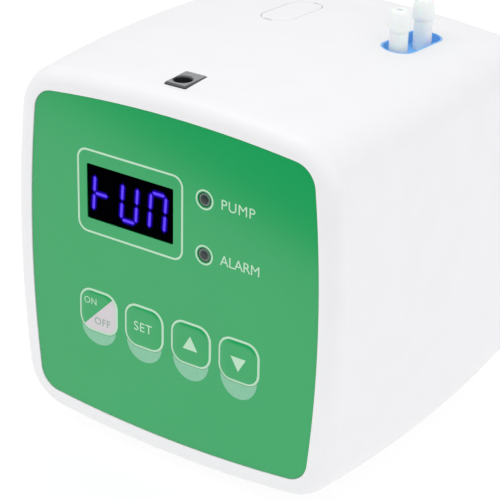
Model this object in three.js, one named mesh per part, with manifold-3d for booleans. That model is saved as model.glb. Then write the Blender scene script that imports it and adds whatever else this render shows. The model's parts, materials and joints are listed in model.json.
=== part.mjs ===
// A compact bedside tubing pump: a crowned, nearly cubic plastic housing with a green membrane
// front panel, a DC jack and two hose barbs on top, and a geared roller pump inside.
// Millimetres, +Z up, the front faces -Y. The origin is on the table, under the housing's middle.
import * as THREE from "three";
import { mergeVertices } from "three/addons/utils/BufferGeometryUtils.js";
import Module from "manifold-3d";

const wasm = await Module();
wasm.setup();

// ---------------------------------------------------------------- driving dimensions
const GAP = 0.3;                  // clearance kept between neighbouring pieces
const DEPTH = 140;                // housing, front rim to back face
const FRONT = -DEPTH / 2;         // Y of the front rim plane
const PANEL_HALF = 63.9;          // half width and half height of the green panel
const SIDE_RADIUS = 482;          // bow of the panel's sides
const CORNER_RADIUS = 9;          // the panel's corners
const SWELL = 10.45;              // how far the housing's widest section stands outside the panel
const SWELL_AT = 62;              // distance of that section behind the front rim
const BARREL = 0.00065;           // how fast the section shrinks, per square millimetre of depth
const EDGE_ROUND = 5.5;           // fillet round the front and back faces
const WALL = 3;
const STAND_OFF = 3;              // the feet's height under the lowest point of the housing
const CENTRE_Z = STAND_OFF + PANEL_HALF + SWELL;
const COVER_SPLIT = 126;          // parting plane between the housing and its rear cover

const OVERLAY_FACE = 0.5;         // depths below the front rim plane
const OVERLAY_BACK = 1.1;
const RECESS_FLOOR = OVERLAY_BACK + GAP;
const BOARD_FRONT = 13;
const BOARD_THICKNESS = 1.6;
const BOARD_BACK = BOARD_FRONT + BOARD_THICKNESS;

const DISPLAY = { x: -17.8, z: 26.5, width: 39, height: 21.4 };
const LED = { x: 15.3, z: [36.9, 15.8], lensRadius: 2.5 };
const KEY = {
  x: -32.65, z: -21.2, pitch: 21.2, width: 18, height: 17.4, corner: 5.6,
  pocketFloor: 2.2, stemEnd: 8,
};
const KEY_NAMES = ["key_on_off", "key_set", "key_up", "key_down"];

const JACK = {
  x: -2.95, y: 13.6, width: 9.1, length: 12.8, top: 73.2, bottom: 60.5,
  holeX: -3.5, holeY: 12.7, holeRadius: 3.3, pinRadius: 1,
};
const WELL = { x: 36.9, y: 98.2, width: 13.6, length: 31.2, floor: 67.7, bottom: 58.3 };
const BARB = { x: 36.85, y: [88.8, 105.7], tip: 87, rootRadius: 3.5 };
const BLANK = { x: -15.4, y: 96.6, width: 13.6, length: 30.3, underside: 70.2 };

const ROTOR = { y: 97.25, z: 30, orbit: 8.3, rollers: 3 };
const TUBE = { radius: 2.4, bore: 1.8, raceway: 14 };
const HEAD = { left: 28.4, right: 45.4, wall: 3, halfLength: 20.5, bottom: 8, top: 58 };
const GEAR = { module: 0.8, wheelTeeth: 40, pinionTeeth: 12, left: 20, right: 24 };
const GEAR_PLATE = { left: 14, right: 16 };
const PINION_Z = ROTOR.z - GEAR.module * (GEAR.wheelTeeth + GEAR.pinionTeeth) / 2;

// ---------------------------------------------------------------- solids and geometry
function toSolid(geometry) {
  const bare = geometry.clone();
  bare.deleteAttribute("normal");
  bare.deleteAttribute("uv");
  const merged = mergeVertices(bare, 1e-4);
  return new wasm.Manifold(new wasm.Mesh({
    numProp: 3,
    vertProperties: new Float32Array(merged.attributes.position.array),
    triVerts: new Uint32Array(merged.index.array),
  }));
}

function toGeometry(solid) {
  const mesh = solid.getMesh();
  const geometry = new THREE.BufferGeometry();
  geometry.setAttribute("position", new THREE.BufferAttribute(new Float32Array(mesh.vertProperties), 3));
  geometry.setIndex(new THREE.BufferAttribute(new Uint32Array(mesh.triVerts), 1));
  geometry.computeVertexNormals();
  return geometry;
}

const join = (first, ...others) => others.reduce((sum, piece) => sum.add(piece), first);
const cut = (first, ...others) => others.reduce((rest, piece) => rest.subtract(piece), first);

// The axis turns a shape's own x, y and extrusion into the housing's axes:
// a shape run along Y is drawn in X, Z; along Z in X, Y; along X in Y, Z.
function run(axis, shape, from, to, segments = 4) {
  const geometry = new THREE.ExtrudeGeometry(shape, {
    depth: to - from, bevelEnabled: false, curveSegments: segments,
  });
  if (axis === "y") geometry.rotateX(Math.PI / 2).translate(0, to, 0);
  if (axis === "z") geometry.translate(0, 0, from);
  if (axis === "x") {
    const turn = new THREE.Matrix4().makeBasis(
      new THREE.Vector3(0, 1, 0), new THREE.Vector3(0, 0, 1), new THREE.Vector3(1, 0, 0));
    geometry.applyMatrix4(turn).translate(from, 0, 0);
  }
  return toSolid(geometry);
}

function circle(u, v, radius) {
  const shape = new THREE.Shape();
  shape.absarc(u, v, radius, 0, 2 * Math.PI);
  return shape;
}

function roundedBox(u, v, width, height, corner) {
  const [a, b, r] = [width / 2, height / 2, corner];
  const shape = new THREE.Shape();
  shape.absarc(u + a - r, v + b - r, r, 0, Math.PI / 2);
  shape.absarc(u - a + r, v + b - r, r, Math.PI / 2, Math.PI);
  shape.absarc(u - a + r, v - b + r, r, Math.PI, 1.5 * Math.PI);
  shape.absarc(u + a - r, v - b + r, r, 1.5 * Math.PI, 2 * Math.PI);
  shape.closePath();
  return shape;
}

// A slot with round ends, longer in the second direction
function stadium(u, v, width, length) {
  const [r, straight] = [width / 2, (length - width) / 2];
  const shape = new THREE.Shape();
  shape.absarc(u, v + straight, r, 0, Math.PI);
  shape.absarc(u, v - straight, r, Math.PI, 2 * Math.PI);
  shape.closePath();
  return shape;
}

function box(x, y, z) {
  const geometry = new THREE.BoxGeometry(x[1] - x[0], y[1] - y[0], z[1] - z[0]);
  geometry.translate((x[0] + x[1]) / 2, (y[0] + y[1]) / 2, (z[0] + z[1]) / 2);
  return toSolid(geometry);
}

function rod(axis, u, v, radius, from, to, segments = 6) {
  return run(axis, circle(u, v, radius), from, to, segments);
}

// A turned piece: its profile is [radius, height] from the axis back to the axis
function turned(profile, x, y, segments = 16) {
  const points = profile.map(([radius, height]) => new THREE.Vector2(radius, height));
  const geometry = new THREE.LatheGeometry(points, segments);
  geometry.rotateX(Math.PI / 2).translate(x, y, 0);
  return toSolid(geometry);
}

// ---------------------------------------------------------------- the crowned housing shape
// Every section is a square with bowed sides and round corners. Sections differ by a parallel
// offset, so the side arcs and the corner arcs keep their centres.
const SIDE_CENTRE = SIDE_RADIUS - PANEL_HALF;
const CORNER_CENTRE =
  (Math.sqrt(2 * (SIDE_RADIUS - CORNER_RADIUS) ** 2 - SIDE_CENTRE ** 2) - SIDE_CENTRE) / 2;
const SIDE_SWEEP = Math.atan2(CORNER_CENTRE, CORNER_CENTRE + SIDE_CENTRE);

function crownedSquare(offset) {
  const shape = new THREE.Shape();
  const reach = CORNER_CENTRE * Math.SQRT2;
  for (let quarter = 0; quarter < 4; quarter++) {
    const side = quarter * Math.PI / 2;
    const corner = side + Math.PI / 4;
    shape.absarc(-SIDE_CENTRE * Math.cos(side), -SIDE_CENTRE * Math.sin(side),
      SIDE_RADIUS + offset, side - SIDE_SWEEP, side + SIDE_SWEEP);
    shape.absarc(reach * Math.cos(corner), reach * Math.sin(corner),
      CORNER_RADIUS + offset, side + SIDE_SWEEP, side + Math.PI / 2 - SIDE_SWEEP);
  }
  shape.closePath();
  return shape;
}

// The whole housing as one solid, in depths behind the front rim; inset makes its inner surface
function pillow(inset, round, steps, segments) {
  const geometry = new THREE.ExtrudeGeometry(crownedSquare(SWELL - inset), {
    depth: DEPTH - 2 * inset - 2 * round,
    steps,
    curveSegments: segments,
    bevelEnabled: true,
    bevelThickness: round,
    bevelSize: round,
    bevelOffset: -round,
    bevelSegments: segments,
  });
  geometry.rotateX(Math.PI / 2).translate(0, DEPTH - inset - round, 0);
  const point = geometry.attributes.position;
  for (let i = 0; i < point.count; i++) {
    const scale = 1 - BARREL * (point.getY(i) - SWELL_AT) ** 2 / (PANEL_HALF + SWELL);
    point.setXYZ(i, point.getX(i) * scale, point.getY(i), point.getZ(i) * scale);
  }
  return toSolid(geometry);
}

const outerBody = pillow(0, EDGE_ROUND, 6, 3);
const innerBody = pillow(WALL, EDGE_ROUND - 2, 4, 2);
const FAR = 100;

// ---------------------------------------------------------------- the assembly
const pump = new THREE.Group();
const inside = new THREE.Group();
inside.position.set(0, FRONT, CENTRE_Z);
pump.add(inside);

const finishes = {
  housing: { color: "#f7f7f9", roughness: 0.35 },
  rubber: { color: "#3b3d40", roughness: 0.9 },
  overlay: { color: "#2fab66", roughness: 0.3 },
  smoked: { color: "#08080e", roughness: 0.08 },
  displayFace: { color: "#15131c", roughness: 0.5 },
  grey: { color: "#8d9094", roughness: 0.5 },
  black: { color: "#232427", roughness: 0.55 },
  board: { color: "#1f6b3c", roughness: 0.5 },
  steel: { color: "#b9bcc0", roughness: 0.3, metalness: 1 },
  brass: { color: "#c9a45a", roughness: 0.3, metalness: 1 },
  blue: { color: "#4d9be0", roughness: 0.4 },
  milky: { color: "#e2e7e4", roughness: 0.35 },
  clear: { color: "#e6ded2", roughness: 0.4 },
  acetal: { color: "#efece2", roughness: 0.4 },
  battery: { color: "#3a77b8", roughness: 0.4 },
};

function place(name, solid, finish) {
  const mesh = new THREE.Mesh(toGeometry(solid), new THREE.MeshStandardMaterial(finishes[finish]));
  mesh.name = name;
  inside.add(mesh);
}

const corners = [[-1, -1], [1, -1], [1, 1], [-1, 1]];

// ---------------------------------------------------------------- housing and rear cover
const COVER_SCREW = { at: 56, bossRadius: 4.5, pilotRadius: 1.8, seat: 134.3 };
const BOARD_SCREW = { x: 48, z: 46, bossRadius: 3.6, pilotRadius: 1.6 };
const FOOT = { x: 36, y: [38, 92], radius: 7, pocketTop: -71.2 };

function coverBoss(sx, sz) {
  const [x, z] = [sx * COVER_SCREW.at, sz * COVER_SCREW.at];
  const span = [COVER_SPLIT - 15, COVER_SPLIT];
  const rib = 1.2;
  const ribs = join(
    box([Math.min(x, x + sx * 14), Math.max(x, x + sx * 14)], span, [z - rib, z + rib]),
    box([x - rib, x + rib], span, [Math.min(z, z + sz * 14), Math.max(z, z + sz * 14)]));
  return join(rod("y", x, z, COVER_SCREW.bossRadius, ...span, 6), ribs).intersect(outerBody);
}

function frontHousing() {
  let housing = outerBody.intersect(box([-FAR, FAR], [-1, COVER_SPLIT], [-FAR, FAR])).subtract(innerBody);
  for (const [sx, sz] of corners) {
    const bossX = sx * BOARD_SCREW.x;
    const bossZ = sz * BOARD_SCREW.z;
    housing = join(housing, coverBoss(sx, sz),
      rod("y", bossX, bossZ, BOARD_SCREW.bossRadius, WALL - 1, BOARD_FRONT - GAP, 6));
    housing = cut(housing,
      rod("y", sx * COVER_SCREW.at, sz * COVER_SCREW.at, COVER_SCREW.pilotRadius,
        COVER_SPLIT - 14, COVER_SPLIT + 1, 6),
      rod("y", bossX, bossZ, BOARD_SCREW.pilotRadius, WALL + 1, BOARD_FRONT, 6));
  }
  housing = cut(housing,
    run("y", crownedSquare(GAP), -1, RECESS_FLOOR, 3),
    run("y", roundedBox(DISPLAY.x, DISPLAY.z, DISPLAY.width + GAP, DISPLAY.height + GAP, 0.8), 0, 2.2, 1),
    run("y", roundedBox(DISPLAY.x, DISPLAY.z, DISPLAY.width - 2, DISPLAY.height - 2, 0.6), 0, WALL + 1, 1));
  for (const z of LED.z) {
    housing = cut(housing, rod("y", LED.x, z, LED.lensRadius + GAP, 0, WALL + 1));
  }
  KEY_NAMES.forEach((name, i) => {
    const x = KEY.x + i * KEY.pitch;
    housing = cut(housing,
      run("y", roundedBox(x, KEY.z, KEY.width + GAP, KEY.height + GAP, KEY.corner),
        0, KEY.pocketFloor, 2),
      rod("y", x, KEY.z, 2.7, 0, WALL + 1));
  });
  for (const y of FOOT.y) {
    for (const sx of [-1, 1]) {
      housing = cut(housing, rod("z", sx * FOOT.x, y, FOOT.radius + GAP, -FAR, FOOT.pocketTop));
    }
  }
  return cut(housing,
    run("z", roundedBox(JACK.x, JACK.y, JACK.width + 2 * GAP, JACK.length + 2 * GAP, 0.6), 60, FAR),
    run("z", stadium(WELL.x, WELL.y, WELL.width, WELL.length), 60, FAR, 6),
    run("z", stadium(BLANK.x, BLANK.y, BLANK.width + 2 * GAP, BLANK.length + 2 * GAP), 60, FAR, 6));
}
place("front_housing", frontHousing(), "housing");

function rearCover() {
  let cover = outerBody.intersect(box([-FAR, FAR], [COVER_SPLIT + GAP, DEPTH + 1], [-FAR, FAR]));
  cover = cover.subtract(innerBody);
  for (const [sx, sz] of corners) {
    const [x, z] = [sx * COVER_SCREW.at, sz * COVER_SCREW.at];
    cover = cover.add(rod("y", x, z, 6, COVER_SPLIT + GAP, DEPTH - 1, 8).intersect(outerBody));
    cover = cut(cover,
      rod("y", x, z, COVER_SCREW.pilotRadius, COVER_SPLIT - 1, DEPTH, 6),
      rod("y", x, z, 3.7, COVER_SCREW.seat, DEPTH + 1));
  }
  const vents = 7;
  for (let i = 0; i < vents; i++) {
    const z = -38 + i * 5;
    cover = cover.subtract(box([-24, 24], [DEPTH - WALL - 1, DEPTH + 1], [z - 1, z + 1]));
  }
  return cover;
}
place("rear_cover", rearCover(), "housing");

corners.forEach(([sx, sz], i) => {
  const [x, z] = [sx * COVER_SCREW.at, sz * COVER_SCREW.at];
  const head = [COVER_SCREW.seat + GAP, COVER_SCREW.seat + 2.8];
  const shank = rod("y", x, z, 1.45, COVER_SPLIT - 12, head[0] + 1, 6);
  const screw = cut(rod("y", x, z, 3.3, ...head).add(shank),
    box([x - 2.2, x + 2.2], [head[1] - 1.2, head[1] + 1], [z - 0.4, z + 0.4]),
    box([x - 0.4, x + 0.4], [head[1] - 1.2, head[1] + 1], [z - 2.2, z + 2.2]));
  place(`cover_screw_${i + 1}`, screw, "steel");
});

FOOT.y.forEach((y, row) => {
  [-1, 1].forEach((sx, column) => {
    const [r, low, high] = [FOOT.radius, -CENTRE_Z, FOOT.pocketTop - GAP];
    const profile = [[0, low], [r - 1, low], [r, low + 1], [r, high], [0, high]];
    place(`foot_${2 * row + column + 1}`, turned(profile, sx * FOOT.x, y, 20), "rubber");
  });
});

// ---------------------------------------------------------------- front panel
function overlay() {
  let sheet = run("y", crownedSquare(0), OVERLAY_FACE, OVERLAY_BACK, 3);
  const window = roundedBox(DISPLAY.x, DISPLAY.z, DISPLAY.width, DISPLAY.height, 0.6);
  sheet = sheet.subtract(run("y", window, 0, 2, 1));
  for (const z of LED.z) {
    sheet = sheet.subtract(rod("y", LED.x, z, LED.lensRadius + GAP, 0, 2));
  }
  KEY_NAMES.forEach((name, i) => {
    const x = KEY.x + i * KEY.pitch;
    const opening = roundedBox(x, KEY.z, KEY.width, KEY.height, KEY.corner);
    sheet = sheet.subtract(run("y", opening, 0, 2, 2));
  });
  return sheet;
}
place("graphic_overlay", overlay(), "overlay");

KEY_NAMES.forEach((name, i) => {
  const x = KEY.x + i * KEY.pitch;
  const [width, height] = [KEY.width - 2 * GAP, KEY.height - 2 * GAP];
  const pad = run("y", roundedBox(x, KEY.z, width, height, KEY.corner - GAP), 0, OVERLAY_BACK + GAP, 2);
  place(name, pad.add(rod("y", x, KEY.z, 2, 1, KEY.stemEnd)), "overlay");
  const button = rod("y", x, KEY.z, 1.6, KEY.stemEnd + 0.7, 10);
  const body = box([x - 3, x + 3], [9.3, BOARD_FRONT - GAP], [KEY.z - 3, KEY.z + 3]);
  place(`tact_switch_${i + 1}`, button.add(body), "black");
});

place("display_lens", run("y", roundedBox(DISPLAY.x, DISPLAY.z,
  DISPLAY.width - 2 * GAP, DISPLAY.height - 2 * GAP, 0.4), OVERLAY_FACE, 1.9), "smoked");
place("display_module", box([DISPLAY.x - 18.8, DISPLAY.x + 18.8], [4.6, BOARD_FRONT - GAP],
  [DISPLAY.z - 9.5, DISPLAY.z + 9.5]), "displayFace");

["pump", "alarm"].forEach((name, i) => {
  place(`led_lens_${name}`, rod("y", LED.x, LED.z[i], LED.lensRadius, OVERLAY_FACE, WALL), "smoked");
  place(`led_${name}`, rod("y", LED.x, LED.z[i], 1.5, 4.4, BOARD_FRONT - GAP, 6), "milky");
});

// ---------------------------------------------------------------- control board
function controlBoard() {
  let board = run("y", roundedBox(0, 0, 108, 104, 3), BOARD_FRONT, BOARD_BACK, 2);
  for (const [sx, sz] of corners) {
    board = board.subtract(rod("y", sx * BOARD_SCREW.x, sz * BOARD_SCREW.z, 1.8, 0, 20, 6));
  }
  return board;
}
place("control_board", controlBoard(), "board");

corners.forEach(([sx, sz], i) => {
  const [x, z] = [sx * BOARD_SCREW.x, sz * BOARD_SCREW.z];
  const head = [BOARD_BACK + GAP, BOARD_BACK + 2.2];
  const screw = rod("y", x, z, 2.7, ...head, 6).add(rod("y", x, z, 1.2, 6, head[0] + 1, 4));
  place(`board_screw_${i + 1}`, screw, "steel");
});

place("buzzer", rod("y", 30, -34, 6, BOARD_BACK + GAP, BOARD_BACK + 8), "black");

// ---------------------------------------------------------------- DC jack
const jackShape = roundedBox(JACK.x, JACK.y, JACK.width, JACK.length, 0.4);
const jackBlock = run("z", jackShape, JACK.bottom, JACK.top, 2);
const jackHole = rod("z", JACK.holeX, JACK.holeY, JACK.holeRadius, JACK.bottom + 2.5, FAR);
const jackPinHole = rod("z", JACK.holeX, JACK.holeY, JACK.pinRadius + GAP, 0, FAR, 6);
const jackPin = rod("z", JACK.holeX, JACK.holeY, JACK.pinRadius, JACK.bottom - 1, JACK.top - 1.5, 6);
place("dc_jack_housing", cut(jackBlock, jackHole, jackPinHole), "grey");
place("dc_jack_pin", jackPin, "steel");

// ---------------------------------------------------------------- port well and hose barbs
function portManifold() {
  const width = WELL.width - 2 * GAP;
  const length = WELL.length - 2 * GAP;
  const flange = run("z", stadium(WELL.x, WELL.y, width + 4, length + 4), 64, 66.5, 4);
  const cup = run("z", stadium(WELL.x, WELL.y, width, length), WELL.bottom, FAR, 6);
  let block = cup.intersect(outerBody).add(flange);
  block = block.subtract(run("z", stadium(WELL.x, WELL.y, width - 2.4, length - 2.4), WELL.floor, FAR, 6));
  for (const y of BARB.y) {
    block = block.subtract(rod("z", BARB.x, y, BARB.rootRadius + GAP, 0, FAR));
  }
  return block;
}
place("port_manifold", portManifold(), "blue");

BARB.y.forEach((y, i) => {
  const bore = 1.1;
  const root = BARB.rootRadius;
  const profile = [
    [bore, 51], [1.5, 51], [1.5, 58], [root, 59.5], [root, BARB.tip - 8], [4.3, BARB.tip - 7.4],
    [4.3, BARB.tip - 6], [3.5, BARB.tip - 1], [2.9, BARB.tip], [bore, BARB.tip], [bore, 51],
  ];
  place(`hose_barb_${i + 1}`, turned(profile, BARB.x, y), "milky");
});

// The blanking cover is cut from the housing's own surface, so it closes its opening flush
const blankPlug = run("z", stadium(BLANK.x, BLANK.y, BLANK.width, BLANK.length), BLANK.underside, FAR, 6);
const notchAt = [[BLANK.x - 1.5, BLANK.y - BLANK.length / 2], [BLANK.x + 2.5, BLANK.y + BLANK.length / 2]];
const notches = notchAt.map(([x, y]) => box([x - 2.4, x + 2.4], [y - 0.9, y + 0.9], [71.8, FAR]));
place("blanking_cover", cut(outerBody.intersect(blankPlug), ...notches), "housing");

// ---------------------------------------------------------------- roller pump head
const headSpan = [ROTOR.y - HEAD.halfLength, ROTOR.y + HEAD.halfLength];

function pumpHead() {
  const block = box([HEAD.left, HEAD.right], headSpan, [HEAD.bottom, HEAD.top]);
  const pocketRadius = TUBE.raceway + TUBE.radius + GAP;
  const pocket = new THREE.Shape();
  pocket.moveTo(ROTOR.y + pocketRadius, FAR);
  pocket.lineTo(ROTOR.y - pocketRadius, FAR);
  pocket.absarc(ROTOR.y, ROTOR.z, pocketRadius, Math.PI, 2 * Math.PI);
  pocket.closePath();
  return cut(block,
    run("x", pocket, HEAD.left + HEAD.wall, FAR, 8),
    rod("x", ROTOR.y, ROTOR.z, 2.3, 0, FAR));
}
place("pump_head", pumpHead(), "black");
const headCover = box([HEAD.right + GAP, HEAD.right + 2.3], headSpan, [HEAD.bottom, HEAD.top]);
place("pump_head_cover", headCover, "clear");

function pumpTube() {
  const points = [[BARB.y[0], 57.5], [BARB.y[0], 50], [85.6, 41]];
  for (let step = 0; step <= 6; step++) {
    const angle = Math.PI + step * Math.PI / 6;
    points.push([ROTOR.y + TUBE.raceway * Math.cos(angle), ROTOR.z + TUBE.raceway * Math.sin(angle)]);
  }
  points.push([108.9, 41], [BARB.y[1], 50], [BARB.y[1], 57.5]);
  const path = new THREE.CatmullRomCurve3(points.map(([y, z]) => new THREE.Vector3(BARB.x, y, z)));
  const section = circle(0, 0, TUBE.radius);
  section.holes.push(circle(0, 0, TUBE.bore));
  return toSolid(new THREE.ExtrudeGeometry(section, { steps: 24, curveSegments: 4, extrudePath: path }));
}
place("pump_tube", pumpTube(), "clear");

const rotorDisc = rod("x", ROTOR.y, ROTOR.z, 11, HEAD.left + 3.4, HEAD.left + 5.2, 12);
const rotorShaft = rod("x", ROTOR.y, ROTOR.z, 2, GEAR_PLATE.left - 0.5, HEAD.left + 4);
const rollerSpots = Array.from({ length: ROTOR.rollers }, (_, i) => {
  const angle = Math.PI / 2 + i * 2 * Math.PI / ROTOR.rollers;
  return [ROTOR.y + ROTOR.orbit * Math.cos(angle), ROTOR.z + ROTOR.orbit * Math.sin(angle)];
});
const pinHoles = rollerSpots.map(([y, z]) => rod("x", y, z, 1.3, 0, FAR, 4));
place("pump_rotor", cut(rotorDisc.add(rotorShaft), ...pinHoles), "acetal");

rollerSpots.forEach(([y, z], i) => {
  const roller = rod("x", y, z, 3, HEAD.left + 5.6, HEAD.left + 11.4).subtract(pinHoles[i]);
  place(`roller_${i + 1}`, roller, "acetal");
  place(`roller_pin_${i + 1}`, rod("x", y, z, 1, HEAD.left + 3.5, HEAD.left + 12.2, 4), "steel");
});

// ---------------------------------------------------------------- gear train and motor
// Straight-flanked teeth, thin enough to leave backlash on both sides
function gearShape(teeth, centreY, centreZ, phase) {
  const pitchRadius = GEAR.module * teeth / 2;
  const [tip, root] = [pitchRadius + 0.95 * GEAR.module, pitchRadius - 1.25 * GEAR.module];
  const step = 2 * Math.PI / teeth;
  const shape = new THREE.Shape();
  for (let i = 0; i < teeth; i++) {
    const middle = phase + i * step;
    const flank = [[root, -0.33], [tip, -0.11], [tip, 0.11], [root, 0.33]];
    flank.forEach(([radius, share], corner) => {
      const angle = middle + share * step;
      const point = [centreY + radius * Math.cos(angle), centreZ + radius * Math.sin(angle)];
      if (i === 0 && corner === 0) shape.moveTo(...point);
      else shape.lineTo(...point);
    });
  }
  shape.closePath();
  return shape;
}

// A tooth of the wheel points straight down into a space at the top of the pinion
const wheelPhase = -Math.PI / 2;
const pinionPhase = Math.PI / 2 + Math.PI / GEAR.pinionTeeth;
const wheel = run("x", gearShape(GEAR.wheelTeeth, ROTOR.y, ROTOR.z, wheelPhase), GEAR.left, GEAR.right);
const pinion = run("x", gearShape(GEAR.pinionTeeth, ROTOR.y, PINION_Z, pinionPhase), GEAR.left, GEAR.right);
place("drive_gear", wheel.subtract(rod("x", ROTOR.y, ROTOR.z, 2.3, 0, FAR)), "acetal");
place("motor_pinion", pinion.subtract(rod("x", ROTOR.y, PINION_Z, 1.3, 0, FAR, 4)), "brass");
place("motor_shaft", rod("x", ROTOR.y, PINION_Z, 1, 9, GEAR.right + 1, 4), "steel");

const motorCan = rod("x", ROTOR.y, PINION_Z, 12, -22, GEAR_PLATE.left - GAP);
place("pump_motor", motorCan.subtract(rod("x", ROTOR.y, PINION_Z, 1.3, 8, FAR, 4)), "steel");

const plate = box([GEAR_PLATE.left, GEAR_PLATE.right], headSpan, [PINION_Z - 14, HEAD.top]);
place("gear_plate", cut(plate,
  rod("x", ROTOR.y, ROTOR.z, 2.3, 0, FAR),
  rod("x", ROTOR.y, PINION_Z, 3, 0, FAR)), "steel");

corners.forEach(([side, end], i) => {
  const y = ROTOR.y + side * (HEAD.halfLength - 3);
  const z = end < 0 ? HEAD.bottom + 4 : HEAD.top - 4;
  place(`standoff_${i + 1}`, rod("x", y, z, 2, GEAR_PLATE.right + GAP, HEAD.left - GAP, 4), "brass");
});

// ---------------------------------------------------------------- battery
const CELL = { radius: 9, length: 65, y: 45, pitch: 18.6, tray: -66.5 };
for (let i = 0; i < 3; i++) {
  const cell = rod("x", CELL.y + i * CELL.pitch, CELL.tray + GAP + CELL.radius, CELL.radius,
    -CELL.length / 2, CELL.length / 2);
  place(`battery_cell_${i + 1}`, cell, "battery");
}
const traySpan = [CELL.y - 12, CELL.y + 2 * CELL.pitch + 12];
place("battery_tray", box([-36, 36], traySpan, [CELL.tray - 1.5, CELL.tray]), "black");

export default pump;
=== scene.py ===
import json
import math

import bmesh
import bpy
from mathutils import Matrix, Vector


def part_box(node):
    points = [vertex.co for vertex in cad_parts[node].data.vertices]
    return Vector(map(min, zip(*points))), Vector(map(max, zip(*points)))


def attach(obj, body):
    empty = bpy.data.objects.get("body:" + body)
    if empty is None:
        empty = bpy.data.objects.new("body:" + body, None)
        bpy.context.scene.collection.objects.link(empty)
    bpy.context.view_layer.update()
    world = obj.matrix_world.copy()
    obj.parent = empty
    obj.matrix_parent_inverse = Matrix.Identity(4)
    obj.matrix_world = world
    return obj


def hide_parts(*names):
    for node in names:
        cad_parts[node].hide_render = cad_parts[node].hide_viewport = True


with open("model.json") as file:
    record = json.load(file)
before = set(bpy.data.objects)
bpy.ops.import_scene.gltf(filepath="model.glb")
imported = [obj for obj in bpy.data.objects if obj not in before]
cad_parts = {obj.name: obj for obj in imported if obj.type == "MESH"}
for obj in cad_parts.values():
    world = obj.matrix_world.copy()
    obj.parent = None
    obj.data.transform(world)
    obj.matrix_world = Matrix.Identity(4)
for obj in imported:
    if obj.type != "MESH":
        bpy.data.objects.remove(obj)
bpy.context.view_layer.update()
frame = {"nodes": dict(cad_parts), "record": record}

# ------------------------------------------------------------------ places and sizes
# Flat places on the pump are (x, depth behind the front rim, height above the panel's middle),
# in millimetres. spot() turns one into metres in the frame.
MM = 0.001
hull_low, hull_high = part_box("front_housing")
_, cover_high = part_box("rear_cover")
_, panel_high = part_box("graphic_overlay")
FRONT = hull_low.y
MIDDLE = (hull_low.z + hull_high.z) / 2
DEPTH = (cover_high.y - FRONT) / MM
PANEL_HALF = panel_high.x / MM
SWELL = hull_high.x / MM - PANEL_HALF
SPLIT = (hull_high.y - FRONT) / MM
SWELL_AT = 62                 # the widest section's depth
BARREL = 0.00065              # loss of half width per square millimetre away from it
EDGE_ROUND = 5.5
WALL = 3
SIDE_RADIUS = 482             # bow of the panel's sides
CORNER_RADIUS = 9
GAP = 0.3


def spot(x, depth, height):
    return Vector((x * MM, FRONT + depth * MM, MIDDLE + height * MM))


def place_of(node):
    """A CAD node's lowest and highest corner as (x, depth, height)."""
    return [(p.x / MM, (p.y - FRONT) / MM, (p.z - MIDDLE) / MM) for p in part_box(node)]


def middle_of(node):
    low, high = place_of(node)
    return [(a + b) / 2 for a, b in zip(low, high)]


# ------------------------------------------------------------------ materials
def linear(code):
    """An sRGB hex colour as linear RGBA."""
    parts = [int(code[i:i + 2], 16) / 255 for i in (1, 3, 5)]
    return [c / 12.92 if c <= 0.04045 else ((c + 0.055) / 1.055) ** 2.4 for c in parts] + [1]


def node(tree, kind, settings=(), inputs=(), links=()):
    """Adds a node, sets its properties and sockets, and links sockets to other nodes' outputs."""
    made = tree.nodes.new(kind)
    for key, value in dict(settings).items():
        setattr(made, key, value)
    for key, value in dict(inputs).items():
        made.inputs[key].default_value = value
    for key, (source, output) in dict(links).items():
        tree.links.new(source.outputs[output], made.inputs[key])
    return made


def finish_of(name, colour, deep, roughness, grain, bump, sockets=(), blotch=14):
    """A moulded or printed finish: colour drifts a little towards deep over blotch millimetres,
    and a grain of so many millimetres gives roughness and a bump of so many millimetres."""
    material = bpy.data.materials.new(name)
    material.use_nodes = True
    tree = material.node_tree
    shader = tree.nodes["Principled BSDF"]
    place = node(tree, "ShaderNodeTexCoord")
    drift = node(tree, "ShaderNodeTexNoise", inputs={"Scale": 1 / (blotch * MM), "Detail": 3},
                 links={"Vector": (place, "Object")})
    mix = node(tree, "ShaderNodeMix", {"data_type": "RGBA"}, {6: linear(colour), 7: linear(deep)},
               {0: (drift, "Fac")})
    tree.links.new(mix.outputs[2], shader.inputs["Base Color"])
    fine = node(tree, "ShaderNodeTexNoise", inputs={"Scale": 1 / (grain * MM), "Detail": 2},
                links={"Vector": (place, "Object")})
    spread = node(tree, "ShaderNodeMapRange",
                  inputs={"To Min": roughness * 0.88, "To Max": roughness * 1.12},
                  links={"Value": (fine, "Fac")})
    tree.links.new(spread.outputs["Result"], shader.inputs["Roughness"])
    relief = node(tree, "ShaderNodeBump", inputs={"Strength": 0.5, "Distance": bump * MM},
                  links={"Height": (fine, "Fac")})
    tree.links.new(relief.outputs["Normal"], shader.inputs["Normal"])
    for key, value in dict(sockets).items():
        shader.inputs[key].default_value = value
    return material


# Injection-moulded white ABS with a fine spark texture: soft highlights, almost no colour of its own
white_abs = finish_of("white_abs", "#F0F0F1", "#EBEBEC", 0.34, 0.7, 0.006, {"IOR": 1.53})
# Polyester membrane film, printed green on its back: a smooth clear face over even colour
green_film = finish_of("green_polyester_film", "#10A45A", "#0F9F56", 0.17, 0.5, 0.001,
                       {"IOR": 1.64}, blotch=40)
# Screen-printed cream ink on the film
cream_ink = finish_of("cream_screen_ink", "#BFE3C6", "#B6DDBE", 0.4, 0.25, 0.002, {"IOR": 1.45})
# Pale grey ink under the film, for the off half of the power key
pale_ink = finish_of("pale_grey_ink", "#D3CED1", "#CDC8CB", 0.2, 0.4, 0.001, {"IOR": 1.57})
# Grey-green ink of the lettering on the pale half
sage_ink = finish_of("sage_screen_ink", "#8FA89B", "#86A092", 0.4, 0.25, 0.003, {"IOR": 1.5})
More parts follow.
